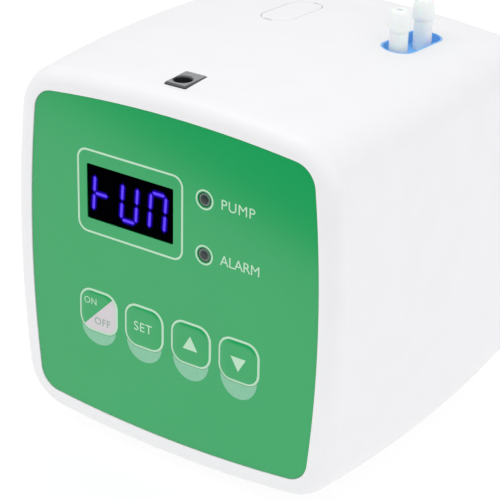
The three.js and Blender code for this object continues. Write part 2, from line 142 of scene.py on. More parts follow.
# Lighter green tint under each key: a painted reflection of the key in the glossy film
key_painted_reflection = finish_of("painted_key_reflection_tint", "#84C4A0", "#7BBC98", 0.2, 0.5, 0.001, {"IOR": 1.57}, blotch=2)
# Smoked acrylic window, polished
smoked_acrylic = finish_of("smoked_acrylic", "#010102", "#020104", 0.1, 3, 0.001,
                           {"IOR": 1.49, "Specular IOR Level": 0.0})
# Moulded grey lens of an indicator that is off
grey_lens = finish_of("grey_acrylic_lens", "#2C3534", "#262F2E", 0.22, 1.2, 0.002, {"IOR": 1.49})
# The same lens round the rim of its dome, painted lighter: a painted highlight
lens_rim_painted_highlight = finish_of("grey_lens_painted_highlight", "#5C7468", "#546C60", 0.22, 1.2, 0.002, {"IOR": 1.49})
# Glass-filled nylon of the power jack
jack_nylon = finish_of("grey_nylon", "#8B8D90", "#7E8083", 0.42, 0.35, 0.012, {"IOR": 1.53}, blotch=4)
# The same nylon on the jack's sides, painted darker: painted shade on the sides, which face away from the
# light
jack_painted_shade_nylon = finish_of("grey_nylon_painted_shade", "#4B4C4E", "#434446", 0.5, 0.35, 0.012, {"IOR": 1.53}, blotch=4)
# Nickel plate on the pin and screws
nickel = finish_of("nickel_plate", "#C9C7C2", "#BEBBB5", 0.24, 0.4, 0.004, {"Metallic": 1.0}, blotch=3)
# Blue polypropylene of the port manifold
blue_pp = finish_of("blue_polypropylene", "#7FBFFB", "#76B6F4", 0.36, 0.6, 0.006,
                    {"IOR": 1.49, "Subsurface Weight": 0.15, "Subsurface Scale": 0.002}, blotch=6)
# Natural polypropylene, milky: light goes a few millimetres in
milky_pp = finish_of("natural_polypropylene", "#F4FAF8", "#EBF3F0", 0.33, 0.5, 0.004,
                     {"IOR": 1.49, "Subsurface Weight": 0.5, "Subsurface Scale": 0.003}, blotch=5)
# Black elastomer of the feet
rubber = finish_of("black_elastomer", "#2C2D2F", "#252628", 0.8, 0.5, 0.03, {"IOR": 1.52})
# Black glass-filled moulding, inside the case
black_nylon = finish_of("black_nylon", "#242528", "#1D1E21", 0.5, 0.5, 0.012, {"IOR": 1.53})
# Solder resist over copper
solder_resist = finish_of("green_solder_resist", "#1C6A3A", "#175C31", 0.38, 0.9, 0.006,
                          {"IOR": 1.5}, blotch=5)
# Machined acetal, slightly waxy
acetal = finish_of("white_acetal", "#EEEBE1", "#E6E2D6", 0.36, 0.5, 0.005, {"IOR": 1.48})
# Turned brass
brass = finish_of("turned_brass", "#C9A45A", "#BC954B", 0.28, 0.3, 0.004, {"Metallic": 1.0})
# Soft silicone tube, cloudy
silicone = finish_of("cloudy_silicone", "#E9E2D6", "#E0D8CB", 0.45, 0.5, 0.004,
                     {"IOR": 1.41, "Subsurface Weight": 0.3, "Subsurface Scale": 0.002})
# Heat-shrunk sleeve of a cell
shrink_sleeve = finish_of("blue_shrink_sleeve", "#3A77B8", "#3470AF", 0.3, 1.5, 0.01, {"IOR": 1.5})


def glowing(name, colour, glow, strength):
    """A lit segment of the display: even colour that gives its own light."""
    material = finish_of(name, colour, colour, 0.4, 1, 0.001, {"Specular IOR Level": 0.0})
    shader = material.node_tree.nodes["Principled BSDF"]
    shader.inputs["Emission Color"].default_value = linear(glow)
    shader.inputs["Emission Strength"].default_value = strength
    return material


# Middle of a lit segment: bright violet-blue
segment_core = glowing("lit_violet_segment", "#120840", "#6A4AFF", 0.95)
# Light scattered in the smoked window next to a segment: deep blue
segment_halo = glowing("violet_segment_halo", "#060320", "#2A0AE0", 0.6)
# The same light further out, almost black
segment_haze = glowing("violet_segment_haze", "#030110", "#14037A", 0.55)

SLOT_MATERIAL = {
    "white_housing": white_abs, "rubber": rubber, "green_overlay": green_film,
    "smoked_window": smoked_acrylic, "display_face": black_nylon, "grey_moulding": jack_nylon,
    "black_moulding": black_nylon, "circuit_board": solder_resist, "steel": nickel, "brass": brass,
    "blue_moulding": blue_pp, "milky_plastic": milky_pp, "clear_tube": silicone, "acetal": acetal,
    "battery_wrap": shrink_sleeve,
}
for row in frame["record"]["subparts"]:
    slots = frame["nodes"][row["node"]].data.materials
    slots.clear()
    slots.append(SLOT_MATERIAL[row["material_slot"]])


# ------------------------------------------------------------------ outlines
def arc(u, v, radius, start, sweep, steps, last=False):
    """Points on an arc; angles in radians. last keeps the arc's end point too."""
    count = steps + 1 if last else steps
    angles = [start + sweep * i / steps for i in range(count)]
    return [(u + radius * math.cos(angle), v + radius * math.sin(angle)) for angle in angles]


SIDE_CENTRE = SIDE_RADIUS - PANEL_HALF
CORNER_CENTRE = (math.sqrt(2 * (SIDE_RADIUS - CORNER_RADIUS) ** 2 - SIDE_CENTRE ** 2) - SIDE_CENTRE) / 2
SIDE_SWEEP = math.atan2(CORNER_CENTRE, CORNER_CENTRE + SIDE_CENTRE)


def crowned_square(offset):
    """The panel's outline, moved outwards by offset: four bowed sides and four round corners."""
    points = []
    for quarter in range(4):
        side = quarter * math.pi / 2
        corner = side + math.pi / 4
        reach = CORNER_CENTRE * math.sqrt(2)
        points += arc(-SIDE_CENTRE * math.cos(side), -SIDE_CENTRE * math.sin(side),
                      SIDE_RADIUS + offset, side - SIDE_SWEEP, 2 * SIDE_SWEEP, 14)
        points += arc(reach * math.cos(corner), reach * math.sin(corner),
                      CORNER_RADIUS + offset, side + SIDE_SWEEP, math.pi / 2 - 2 * SIDE_SWEEP, 12)
    return points


def rounded_box(u, v, width, height, corner, steps=8):
    a, b = width / 2 - corner, height / 2 - corner
    points = []
    for quarter, (su, sv) in enumerate(((1, 1), (-1, 1), (-1, -1), (1, -1))):
        points += arc(u + su * a, v + sv * b, corner, quarter * math.pi / 2, math.pi / 2, steps, last=True)
    return points


def stadium(u, v, width, length, steps=20):
    straight = (length - width) / 2
    return (arc(u, v + straight, width / 2, 0, math.pi, steps, last=True)
            + arc(u, v - straight, width / 2, math.pi, math.pi, steps, last=True))


def circle(u, v, radius, steps=40):
    return arc(u, v, radius, 0, 2 * math.pi, steps)


def upright(points, depth):
    """An outline drawn in x and height, at one depth."""
    return [spot(x, depth, z) for x, z in points]


def level(points, height):
    """An outline drawn in x and depth, at one height."""
    return [spot(x, depth, height) for x, depth in points]


# ------------------------------------------------------------------ mesh work
def loft(rings, closed=False):
    """A skin over rings of equally many points. Its ends are capped, or joined to each other."""
    bm = bmesh.new()
    verts = [bm.verts.new(point) for point in rings[0]]
    start = edges = [bm.edges.new(pair) for pair in zip(verts, verts[1:] + verts[:1])]
    for ring in rings[1:] + rings[:closed]:
        made = bmesh.ops.extrude_edge_only(bm, edges=edges)["geom"]
        fresh = {item for item in made if isinstance(item, bmesh.types.BMVert)}
        edges = [item for item in made
                 if isinstance(item, bmesh.types.BMEdge) and fresh.issuperset(item.verts)]
        verts = [next(e.other_vert(v) for e in v.link_edges if e.other_vert(v) in fresh) for v in verts]
        for vert, point in zip(verts, ring):
            vert.co = point
    if closed:
        bmesh.ops.remove_doubles(bm, verts=bm.verts, dist=1e-7)
    else:
        bmesh.ops.contextual_create(bm, geom=start)
        bmesh.ops.contextual_create(bm, geom=edges)
    return bm


def prism(points, first, last, way=upright):
    return loft([way(points, first), way(points, last)])


def slab(low, high):
    """A box between two corners given as (x, depth, height)."""
    bm = bmesh.new()
    bmesh.ops.create_cube(bm, size=1)
    a, b = spot(*low), spot(*high)
    stretch = Matrix.Diagonal((*(b - a), 1))
    bmesh.ops.transform(bm, matrix=Matrix.Translation((a + b) / 2) @ stretch, verts=bm.verts)
    return bm


def turned(profile, origin, towards=(0, 0, 1), steps=48):
    """Spins a profile of (radius, height) about its axis, and points that axis along towards."""
    bm = bmesh.new()
    verts = [bm.verts.new((radius * MM, 0, height * MM)) for radius, height in profile]
    edges = [bm.edges.new(pair) for pair in zip(verts, verts[1:])]
    bmesh.ops.spin(bm, geom=verts + edges, cent=(0, 0, 0), axis=(0, 0, 1), dvec=(0, 0, 0),
                   angle=2 * math.pi, steps=steps, use_merge=True)
    bmesh.ops.remove_doubles(bm, verts=bm.verts, dist=1e-7)
    turn = Vector((0, 0, 1)).rotation_difference(Vector(towards)).to_matrix().to_4x4()
    bmesh.ops.transform(bm, matrix=Matrix.Translation(origin) @ turn, verts=bm.verts)
    return bm


def as_object(bm, name, turn_out=True):
    if turn_out:
        bmesh.ops.recalc_face_normals(bm, faces=bm.faces)
    mesh = bpy.data.meshes.new(name)
    bm.to_mesh(mesh)
    bm.free()
    obj = bpy.data.objects.new(name, mesh)
    bpy.context.scene.collection.objects.link(obj)
    return obj


def baked(obj):
    """The object's mesh with its modifiers applied."""
    depsgraph = bpy.context.evaluated_depsgraph_get()
    mesh = bpy.data.meshes.new_from_object(obj.evaluated_get(depsgraph))
    obj.modifiers.clear()
    obj.data = mesh
    return obj


def carve(obj, cutters, operation="DIFFERENCE"):
    """Cuts closed bmeshes out of an object, or keeps what they share with it."""
    tools = [as_object(cutter, "cutter") for cutter in cutters]
    for tool in tools:
        modifier = obj.modifiers.new("carve", "BOOLEAN")
        modifier.operation = operation
        modifier.solver = "EXACT"
        modifier.object = tool
    baked(obj)
    for tool in tools:
        bpy.data.objects.remove(tool)
    return obj


def dress(obj, materials, body="root", stands_for=(), bevel=0, crease=35):
    """Gives a piece its finish, its edge rounding in millimetres and the body it rides on."""
    mesh = obj.data
    if not mesh.materials:
        for material in materials:
            mesh.materials.append(material)
    mesh.shade_smooth()
    mesh.set_sharp_from_angle(angle=math.radians(crease))
    if bevel:
        rounding = obj.modifiers.new("edge", "BEVEL")
        rounding.width = bevel * MM
        rounding.segments = 2
        rounding.limit_method = "ANGLE"
        rounding.angle_limit = math.radians(crease)
        rounding.harden_normals = True
    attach(obj, body)
    if stands_for:
        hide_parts(*stands_for)
    return obj


# ------------------------------------------------------------------ camera, floor and light
CAMERA_YAW, CAMERA_PITCH, CAMERA_ROLL = (math.radians(a) for a in (35.087, 25.24, 1.107))
CAMERA_FROM_PANEL = (409.4, -532.7, 330.6)      # millimetres from the middle of the panel
LENS = 151.4


def add_camera():
    back = Vector((math.sin(CAMERA_YAW) * math.cos(CAMERA_PITCH),
                   -math.cos(CAMERA_YAW) * math.cos(CAMERA_PITCH), math.sin(CAMERA_PITCH)))
    right = Vector((math.cos(CAMERA_YAW), math.sin(CAMERA_YAW), 0))
    up = back.cross(right)
    rolled_right = right * math.cos(CAMERA_ROLL) + up * math.sin(CAMERA_ROLL)
    rolled_up = up * math.cos(CAMERA_ROLL) - right * math.sin(CAMERA_ROLL)
    data = bpy.data.cameras.new("camera")
    data.lens = LENS
    camera = bpy.data.objects.new("camera", data)
    turn = Matrix((rolled_right, rolled_up, back)).transposed().to_4x4()
    camera.matrix_world = Matrix.Translation(spot(*CAMERA_FROM_PANEL)) @ turn
    bpy.context.scene.collection.objects.link(camera)
    bpy.context.scene.camera = camera


def add_light(name, place, target, size, power, colour="#FFFFFF"):
    data = bpy.data.lights.new(name, "AREA")
    data.shape = "DISK"
    data.size = size
    data.energy = power
    data.color = linear(colour)[:3]
    light = bpy.data.objects.new(name, data)
    light.location = place
    light.rotation_euler = (Vector(target) - Vector(place)).to_track_quat("-Z", "Y").to_euler()
    bpy.context.scene.collection.objects.link(light)


def add_world():
    """A white tent: brightest overhead, and a little darker towards the horizon."""
    world = bpy.data.worlds.new("white_tent")
    world.use_nodes = True
    tree = world.node_tree
    place = node(tree, "ShaderNodeTexCoord")
    apart = node(tree, "ShaderNodeSeparateXYZ", links={"Vector": (place, "Generated")})
    fade = node(tree, "ShaderNodeMapRange", inputs={"From Max": 0.7, "To Min": 0.66, "To Max": 1.02},
                links={"Value": (apart, "Z")})
    background = tree.nodes["Background"]
    background.inputs["Color"].default_value = linear("#FEFEFF")
    tree.links.new(fade.outputs["Result"], background.inputs["Strength"])
    bpy.context.scene.world = world


# Lamp-black felt: gives back almost no light
black_felt = finish_of("black_felt", "#0C0C0D", "#08080A", 0.95, 1, 0.05, blotch=20)
# Opal acrylic table lit from below: even white, with hardly any shadow
opal_table = finish_of("lit_opal_table", "#909090", "#8E8E8E", 0.9, 2, 0.02, blotch=300)


def add_flag():
    """A black card in front of the table. Only the glossy film sees it, in its upper part."""
    bm = bmesh.new()
    bmesh.ops.create_grid(bm, x_segments=1, y_segments=1, size=1.5)
    turn = Matrix.Rotation(math.radians(21), 4, "Z") @ Matrix.Translation((0, -1.5, 0))
    bmesh.ops.transform(bm, matrix=Matrix.Translation((-0.183, -0.302, 0.002)) @ turn, verts=bm.verts)
    card = as_object(bm, "black_flag", turn_out=False)
    card.data.materials.append(black_felt)
    card.visible_camera = False
    card.visible_diffuse = False
    card.visible_shadow = False


def add_studio():
    bm = bmesh.new()
    bmesh.ops.create_grid(bm, x_segments=1, y_segments=1, size=6)
    floor = as_object(bm, "floor", turn_out=False)
    shader = opal_table.node_tree.nodes["Principled BSDF"]
    shader.inputs["Emission Color"].default_value = linear("#FFFFFF")
    shader.inputs["Emission Strength"].default_value = 0.74
    floor.data.materials.append(opal_table)
    add_world()
    add_flag()
    add_light("key", (-0.5, -0.6, 1.7), (0, 0, 0.08), 1.3, 4.5)
    add_light("fill", (1.5, -0.5, 0.9), (0, 0, 0.08), 1.4, 2.5, "#F6F4FF")
    bpy.context.scene.view_settings.view_transform = "Standard"


add_camera()
add_studio()


# ------------------------------------------------------------------ housing and rear cover
def section(inset, depth, tuck=0):
    """The housing's section at a depth. inset is measured from the outer skin, and tuck draws the
    section in before the barrel shape is applied, as round the edges of the front and back."""
    scale = 1 - BARREL * (depth - SWELL_AT) ** 2 / (PANEL_HALF + SWELL)
    points = crowned_square(SWELL - inset - tuck)
    return upright([(x * scale, z * scale) for x, z in points], depth)


def edge_rings(inset, start, radius, steps, front=True):
    """Rings round a filleted edge, from the face at depth start to the sides."""
    rings = []
    for i in range(steps + 1):
        angle = math.pi / 2 * i / steps
        shift = radius * (1 - math.cos(angle))
        depth = start + shift if front else start - shift
        rings.append(section(inset, depth, radius * (1 - math.sin(angle))))
    return rings


def side_rings(inset, first, last, steps):
    return [section(inset, first + (last - first) * i / steps) for i in range(1, steps + 1)]


KEYS = ["key_on_off", "key_set", "key_up", "key_down"]
key_spots = {key: (middle_of(key)[0], middle_of(key)[2]) for key in KEYS}
KEY_SIZE = (18, 17.4)
KEY_CORNER = 5.6
LAMPS = ["led_lens_pump", "led_lens_alarm"]
lamp_spots = {lamp: (middle_of(lamp)[0], middle_of(lamp)[2]) for lamp in LAMPS}
LAMP_RADIUS = 2.5
window_low, window_high = place_of("display_lens")
WINDOW = (middle_of("display_lens")[0], middle_of("display_lens")[2])
WINDOW_SIZE = (window_high[0] - window_low[0] + 2 * GAP, window_high[2] - window_low[2] + 2 * GAP)
RECESS = 1.4

jack_low, jack_high = place_of("dc_jack_housing")
pin_x, pin_depth, _ = middle_of("dc_jack_pin")
JACK_MIDDLE = middle_of("dc_jack_housing")
JACK_SIZE = (jack_high[0] - jack_low[0], jack_high[1] - jack_low[1])
JACK_HOLE = 3.3

well_low, _ = place_of("port_manifold")
WELL_MIDDLE = middle_of("port_manifold")
WELL_SIZE = (13.6, 31.2)
WELL_FLOOR = 67.7
blank_low, blank_high = place_of("blanking_cover")
BLANK_MIDDLE = middle_of("blanking_cover")
BLANK_SIZE = (blank_high[0] - blank_low[0], blank_high[1] - blank_low[1])
ABOVE = 90
foot_low, foot_high = place_of("foot_1")
FOOT_RADIUS = (foot_high[0] - foot_low[0]) / 2
FOOT_TOP = foot_high[2]


def housing_shell():
    rings = [upright(crowned_square(0.1), RECESS), upright(crowned_square(0.1), 0.15),
             upright(crowned_square(0.25), 0)]
    rings += edge_rings(0, 0, EDGE_ROUND, 10)
    rings += side_rings(0, EDGE_ROUND, SPLIT - 0.4, 26)
    rings += [section(0.4, SPLIT), section(WALL, SPLIT)]
    rings += side_rings(WALL, SPLIT, EDGE_ROUND, 10)
    rings += reversed(edge_rings(WALL, WALL, EDGE_ROUND - WALL, 4)[:-1])
    shell = as_object(loft(rings), "housing_shell")
    cutters = [
        prism(rounded_box(*WINDOW, WINDOW_SIZE[0] + GAP, WINDOW_SIZE[1] + GAP, 0.8), -1, 2.2),
        prism(rounded_box(*JACK_MIDDLE[:2], JACK_SIZE[0] + 0.5, JACK_SIZE[1] + 0.5, 0.7), 60, ABOVE, level),
        prism(stadium(*WELL_MIDDLE[:2], *WELL_SIZE), 60, ABOVE, level),
        prism(stadium(*BLANK_MIDDLE[:2], BLANK_SIZE[0] + 0.5, BLANK_SIZE[1] + 0.5), 60, ABOVE, level),
    ]
    for i in range(4):
        x, depth, _ = middle_of(f"foot_{i + 1}")
        cutters.append(prism(circle(x, depth, FOOT_RADIUS + GAP), -90, FOOT_TOP + GAP, level))
    for x, z in key_spots.values():
        cutters.append(prism(rounded_box(x, z, KEY_SIZE[0] + GAP, KEY_SIZE[1] + GAP, KEY_CORNER), -1, 2.2))
    carve(shell, cutters)
    bores = [prism(rounded_box(*WINDOW, WINDOW_SIZE[0] - 2, WINDOW_SIZE[1] - 2, 0.6), 0, WALL + 1)]
    bores += [prism(circle(x, z, LAMP_RADIUS + GAP), 0, WALL + 1) for x, z in lamp_spots.values()]
    bores += [prism(circle(x, z, 2.7), 0, WALL + 1) for x, z in key_spots.values()]
    carve(shell, bores)
    return dress(shell, [white_abs], stands_for=["front_housing"], bevel=0.25)


housing_shell()


SCREW_SEAT = 134.3            # depth of the shoulder each cover screw's head sits on
VENT_ROWS, VENT_LOW, VENT_PITCH = 7, -38, 5


def rear_shell():
    start = SPLIT + GAP
    rings = [section(WALL, start), section(0.4, start), section(0, start + 0.4)]
    rings += side_rings(0, start + 0.4, DEPTH - EDGE_ROUND, 3)
    rings += reversed(edge_rings(0, DEPTH, EDGE_ROUND, 10, front=False)[:-1])
    inner = [section(WALL, DEPTH - EDGE_ROUND)]
    inner += reversed(edge_rings(WALL, DEPTH - WALL, EDGE_ROUND - WALL, 4, front=False)[:-1])
    shell = as_object(loft(list(reversed(inner)) + rings), "rear_shell")
    posts = []
    for i in range(4):
        x, _, z = middle_of(f"cover_screw_{i + 1}")
        posts.append(prism(circle(x, z, 6), start, DEPTH - 1.5))
    carve(shell, posts, "UNION")
    cutters = []
    for i in range(4):
        x, _, z = middle_of(f"cover_screw_{i + 1}")
        cutters.append(prism(circle(x, z, 1.8), start - 1, DEPTH))
        cutters.append(prism(circle(x, z, 3.7), SCREW_SEAT, DEPTH + 1))
    for row in range(VENT_ROWS):
        z = VENT_LOW + row * VENT_PITCH
        cutters.append(prism(rounded_box(0, z, 48, 2, 0.99), DEPTH - WALL - 1, DEPTH + 1))
    carve(shell, cutters)
    return dress(shell, [white_abs], stands_for=["rear_cover"], bevel=0.25)


rear_shell()


def feet():
    for i in range(4):
        low, high = place_of(f"foot_{i + 1}")
        x, depth, _ = middle_of(f"foot_{i + 1}")
        radius = (high[0] - low[0]) / 2
        height = high[2] - low[2]
        profile = [(0, 0.5), (radius - 3, 0.5), (radius - 2.6, 0), (radius - 1.2, 0), (radius - 0.35, 0.35),
                   (radius, 1.2), (radius, height), (0, height)]
        foot = as_object(turned(profile, spot(x, depth, low[2])), f"rubber_foot_{i + 1}")
        dress(foot, [rubber], stands_for=[f"foot_{i + 1}"])


feet()


def cover_screws():
    for i in range(4):
        name = f"cover_screw_{i + 1}"
        low, high = place_of(name)
        x, _, z = middle_of(name)
        head = 2.5
        length = high[1] - low[1]
        profile = [(0, -length), (1.45, -length), (1.45, -head), (3.3, -head), (3.3, -0.9), (2.9, -0.35),
                   (2.1, -0.05), (0, 0)]
        screw = as_object(turned(profile, spot(x, high[1], z), (0, 1, 0)), f"plated_screw_{i + 1}")
        slots = [slab((x - 1.9, high[1] - 1.3, z - 0.4), (x + 1.9, high[1] + 1, z + 0.4)),
                 slab((x - 0.4, high[1] - 1.3, z - 1.9), (x + 0.4, high[1] + 1, z + 1.9))]
        carve(screw, slots)
        dress(screw, [nickel], stands_for=[name])


cover_screws()


def flush_with_housing(plug, name):
    """What a plug and the housing's outer shape share, so the plug's top follows the crowned skin."""
    rings = edge_rings(0, 0, EDGE_ROUND, 4) + side_rings(0, EDGE_ROUND, DEPTH - EDGE_ROUND, 30)
    return carve(as_object(loft(rings), name), [plug], "INTERSECT")


NOTCH_FLOOR, NOTCH_WIDTH, NOTCH_REACH = 71.6, 4.8, 0.9


def blanking_cover():
    outline = stadium(*BLANK_MIDDLE[:2], *BLANK_SIZE)
    body = flush_with_housing(prism(outline, blank_low[2], ABOVE, level), "blanking_plug")
    x, depth, _ = BLANK_MIDDLE
    half = BLANK_SIZE[1] / 2
    front, back = depth - half, depth + half
    notches = [slab((x - 3.9, front - 1, NOTCH_FLOOR), (x - 3.9 + NOTCH_WIDTH, front + NOTCH_REACH, ABOVE)),
               slab((x + 0.1, back - NOTCH_REACH, NOTCH_FLOOR), (x + 0.1 + NOTCH_WIDTH, back + 1, ABOVE))]
    carve(body, notches)
    dress(body, [white_abs], stands_for=["blanking_cover"], bevel=0.3)


blanking_cover()


# ------------------------------------------------------------------ front panel
FILM_FACE = 0.5


def film_overlay():
    rings = [upright(crowned_square(-0.08), 1.1), upright(crowned_square(0), 1.0),
             upright(crowned_square(0), FILM_FACE + 0.08), upright(crowned_square(-0.08), FILM_FACE)]
    film = as_object(loft(rings), "green_film")
    cutters = [prism(rounded_box(*WINDOW, *WINDOW_SIZE, 0.6), -1, 2)]
    cutters += [prism(rounded_box(x, z, *KEY_SIZE, KEY_CORNER), -1, 2) for x, z in key_spots.values()]
    cutters += [prism(circle(x, z, LAMP_RADIUS + GAP), -1, 2) for x, z in lamp_spots.values()]
    carve(film, cutters)
    dress(film, [green_film], stands_for=["graphic_overlay"])


film_overlay()

INK = 0.04                    # how far printing stands off the film
LINE, RING_LINE = 0.8, 0.62   # widths of the frame line and of the rings round the lamps
FRAME_SIZE, FRAME_CORNER = (46.9, 32), 4
RING_RADIUS = 3.5
CAPITAL_SHARE = 0.72          # height of a capital letter, as a share of the typeface's size


def ink_band(name, outline, line):
    """A printed line of that width, following an outline given by a function of its growth."""
    face, back = FILM_FACE - INK, FILM_FACE + 0.02
    outer, inner = outline(line / 2), outline(-line / 2)
    rings = [upright(outer, back), upright(outer, face), upright(inner, face), upright(inner, back)]
    dress(as_object(loft(rings, closed=True), name), [cream_ink])


def frame_outline(grow):
    return rounded_box(*WINDOW, FRAME_SIZE[0] + 2 * grow, FRAME_SIZE[1] + 2 * grow, FRAME_CORNER + grow)


ink_band("window_frame_line", frame_outline, LINE)
for lamp, (x, z) in lamp_spots.items():
    ink_band(f"ring_line_{lamp[9:]}", lambda grow: circle(x, z, RING_RADIUS + grow, 48), RING_LINE)


def lettering(name, text, height, x, z, material, surface, body="root", spacing=1.08, align="LEFT"):
    """Letters of that height; surface gives the depth of what they are printed on at an x and z."""
    curve = bpy.data.curves.new(name, "FONT")
    curve.body = text
    curve.size = height / CAPITAL_SHARE * MM
    curve.align_x = align
    curve.align_y = "CENTER"
    curve.space_character = spacing
    curve.extrude = INK / 2 * MM
    curve.resolution_u = 5
    source = bpy.data.objects.new(name, curve)
    bpy.context.scene.collection.objects.link(source)
    depsgraph = bpy.context.evaluated_depsgraph_get()
    mesh = bpy.data.meshes.new_from_object(source.evaluated_get(depsgraph))
    bpy.data.objects.remove(source)
    mesh.transform(Matrix.Translation(spot(x, 0, z)) @ Matrix.Rotation(math.pi / 2, 4, "X"))
    for vertex in mesh.vertices:
        here_x, here_z = vertex.co.x / MM, (vertex.co.z - MIDDLE) / MM
        vertex.co.y += (surface(here_x, here_z) - INK / 2) * MM
    obj = bpy.data.objects.new(name, mesh)
    bpy.context.scene.collection.objects.link(obj)
    mesh.materials.clear()
    dress(obj, [material], body)


def flat_film(x, z):
    return FILM_FACE


LABEL_X, LABEL_HEIGHT = 22.2, 4
lettering("label_pump", "PUMP", LABEL_HEIGHT, LABEL_X, lamp_spots["led_lens_pump"][1], cream_ink, flat_film)
lettering("label_alarm", "ALARM", LABEL_HEIGHT, LABEL_X, lamp_spots["led_lens_alarm"][1], cream_ink,
          flat_film, spacing=0.94)


CAP = (KEY_SIZE[0] - 0.1, KEY_SIZE[1] - 0.1)


def key_dip(x, z):
    """How far inside the cap's edge a place is, in millimetres; x and z are from the key's middle."""
    over_x, over_z = abs(x) - CAP[0] / 2, abs(z) - CAP[1] / 2
    if min(over_x, over_z) > -KEY_CORNER:
        return KEY_CORNER - math.hypot(over_x + KEY_CORNER, over_z + KEY_CORNER)
    return -max(over_x, over_z)


CAP_EDGE, CAP_TOP, CAP_SLOPE = 0.55, 0.06, 3.4


def cap_depth(inside):
    """Depth of the domed cap at a distance inside its edge: a quarter wave up to a flat top."""
    share = min(max(inside / CAP_SLOPE, 0), 1)
    return CAP_EDGE + (CAP_TOP - CAP_EDGE) * math.sin(share * math.pi / 2)


def key_cap(key):
    x, z = key_spots[key]
    steps = [0, 0.25, 0.5, 0.85, 1.3, 1.8, 2.4, 3.0, CAP_SLOPE]

    def outline(inside):
        return rounded_box(x, z, CAP[0] - 2 * inside, CAP[1] - 2 * inside, KEY_CORNER - inside)

    rings = [upright(outline(0), RECESS)] + [upright(outline(step), cap_depth(step)) for step in steps]
    bm = loft(rings)
    if key == "key_on_off":
        across = Vector((1, 0, -1)).normalized()
        bmesh.ops.bisect_plane(bm, geom=bm.verts[:] + bm.edges[:] + bm.faces[:],
                               plane_co=spot(x, 0, z), plane_no=across, dist=1e-7)
    for face in bm.faces:
        centre = face.calc_center_median()
        from_middle = (centre.x / MM - x, (centre.z - MIDDLE) / MM - z)
        inside = key_dip(*from_middle)
        if centre.y - FRONT < 0.7 * MM and inside < 0.85:
            face.material_index = 1
        elif key == "key_on_off" and from_middle[0] > from_middle[1] and centre.y - FRONT < 0.7 * MM:
            face.material_index = 2
    cap = as_object(bm, f"{key}_cap")
    for material in (green_film, cream_ink, pale_ink):
        cap.data.materials.append(material)
    stem = as_object(prism(circle(x, z, 2, 24), 1, 8), "stem")
    stem.data.materials.append(green_film)
    join = cap.modifiers.new("stem", "BOOLEAN")
    join.operation = "UNION"
    join.object = stem
    baked(cap)
    bpy.data.objects.remove(stem)
    dress(cap, [], key, [key], crease=50)


def key_crescent(key):
    """A lighter green moon on the film, peeping out under the key: a painted reflection of the key."""
    x, z = key_spots[key]
    drop = 7.2 + 0.5 * KEYS.index(key)
    unit_circle = circle(0, 0, 1, 64)
    oval = [(x + 8 * u, z - 6.4 + drop * v) for u, v in unit_circle]
    # The moon is a painted reflection of the key, not print
    moon = as_object(prism(oval, FILM_FACE - INK, FILM_FACE + 0.02), f"{key}_moon")
    carve(moon, [prism(rounded_box(x, z, KEY_SIZE[0] + 0.1, KEY_SIZE[1] + 0.1, KEY_CORNER), -1, 2)])
    dress(moon, [key_painted_reflection])


for key in KEYS:
    key_cap(key)
    key_crescent(key)


def on_cap(key):
    x, z = key_spots[key]
    return lambda here_x, here_z: cap_depth(key_dip(here_x - x, here_z - z))


def key_triangle(key, up):
    x, z = key_spots[key]
    z += 0.6 if up else -1.2
    half, rise = 3.3, 2.75 if up else -2.75
    corners = [(x - half, z - rise), (x + half, z - rise), (x, z + rise)]
    mark = as_object(prism(corners, CAP_TOP - INK, CAP_TOP + 0.02), f"{key}_mark")
    dress(mark, [cream_ink], key)


def key_marks():
    x, z = key_spots["key_on_off"]
    surface = on_cap("key_on_off")
    lettering("mark_on", "ON", 2.7, x - 3.5, z + 3.6, cream_ink, surface, "key_on_off", align="CENTER")
    lettering("mark_off", "OFF", 3, x + 2.0, z - 3.8, sage_ink, surface, "key_on_off", align="CENTER")
    x, z = key_spots["key_set"]
    lettering("mark_set", "SET", 3.75, x - 0.25, z - 0.1, cream_ink, on_cap("key_set"), "key_set",
              align="CENTER")
    key_triangle("key_up", True)
    key_triangle("key_down", False)


key_marks()


# ------------------------------------------------------------------ display and lamps
def display_window():
    size = (WINDOW_SIZE[0] - 2 * GAP, WINDOW_SIZE[1] - 2 * GAP)

    def outline(inside):
        return rounded_box(*WINDOW, size[0] - 2 * inside, size[1] - 2 * inside, 0.5 - inside)

    rings = [upright(outline(0), window_high[1]), upright(outline(0), FILM_FACE + 0.15),
             upright(outline(0.15), FILM_FACE)]
    window = as_object(loft(rings), "smoked_window")
    dress(window, [smoked_acrylic], stands_for=["display_lens"])


display_window()

DIGIT_PITCH = 12.7
DIGIT_HALF_WIDTH, DIGIT_HALF_HEIGHT = 3.3, 7.1
SLANT = 0.07
ENDS = {
    "a": ((-1, 1), (1, 1)), "b": ((1, 1), (1, 0)), "c": ((1, 0), (1, -1)), "d": ((-1, -1), (1, -1)),
    "e": ((-1, 0), (-1, -1)), "f": ((-1, 1), (-1, 0)), "g": ((-1, 0), (1, 0)),
}
LIT = ["efg", "bcdef", "abcef"]


def segment_bar(start, end, thickness, trim, face, back):
    """A bar with pointed ends between two places, as (x, height)."""
    a, b = Vector(start), Vector(end)
    along = (b - a).normalized()
    across = Vector((-along.y, along.x)) * thickness / 2
    a, b = a + along * trim, b - along * trim
    nib = along * thickness / 2
    points = [a, a + nib + across, b - nib + across, b, b - nib - across, a + nib - across]
    return prism([tuple(p) for p in points], face, back)


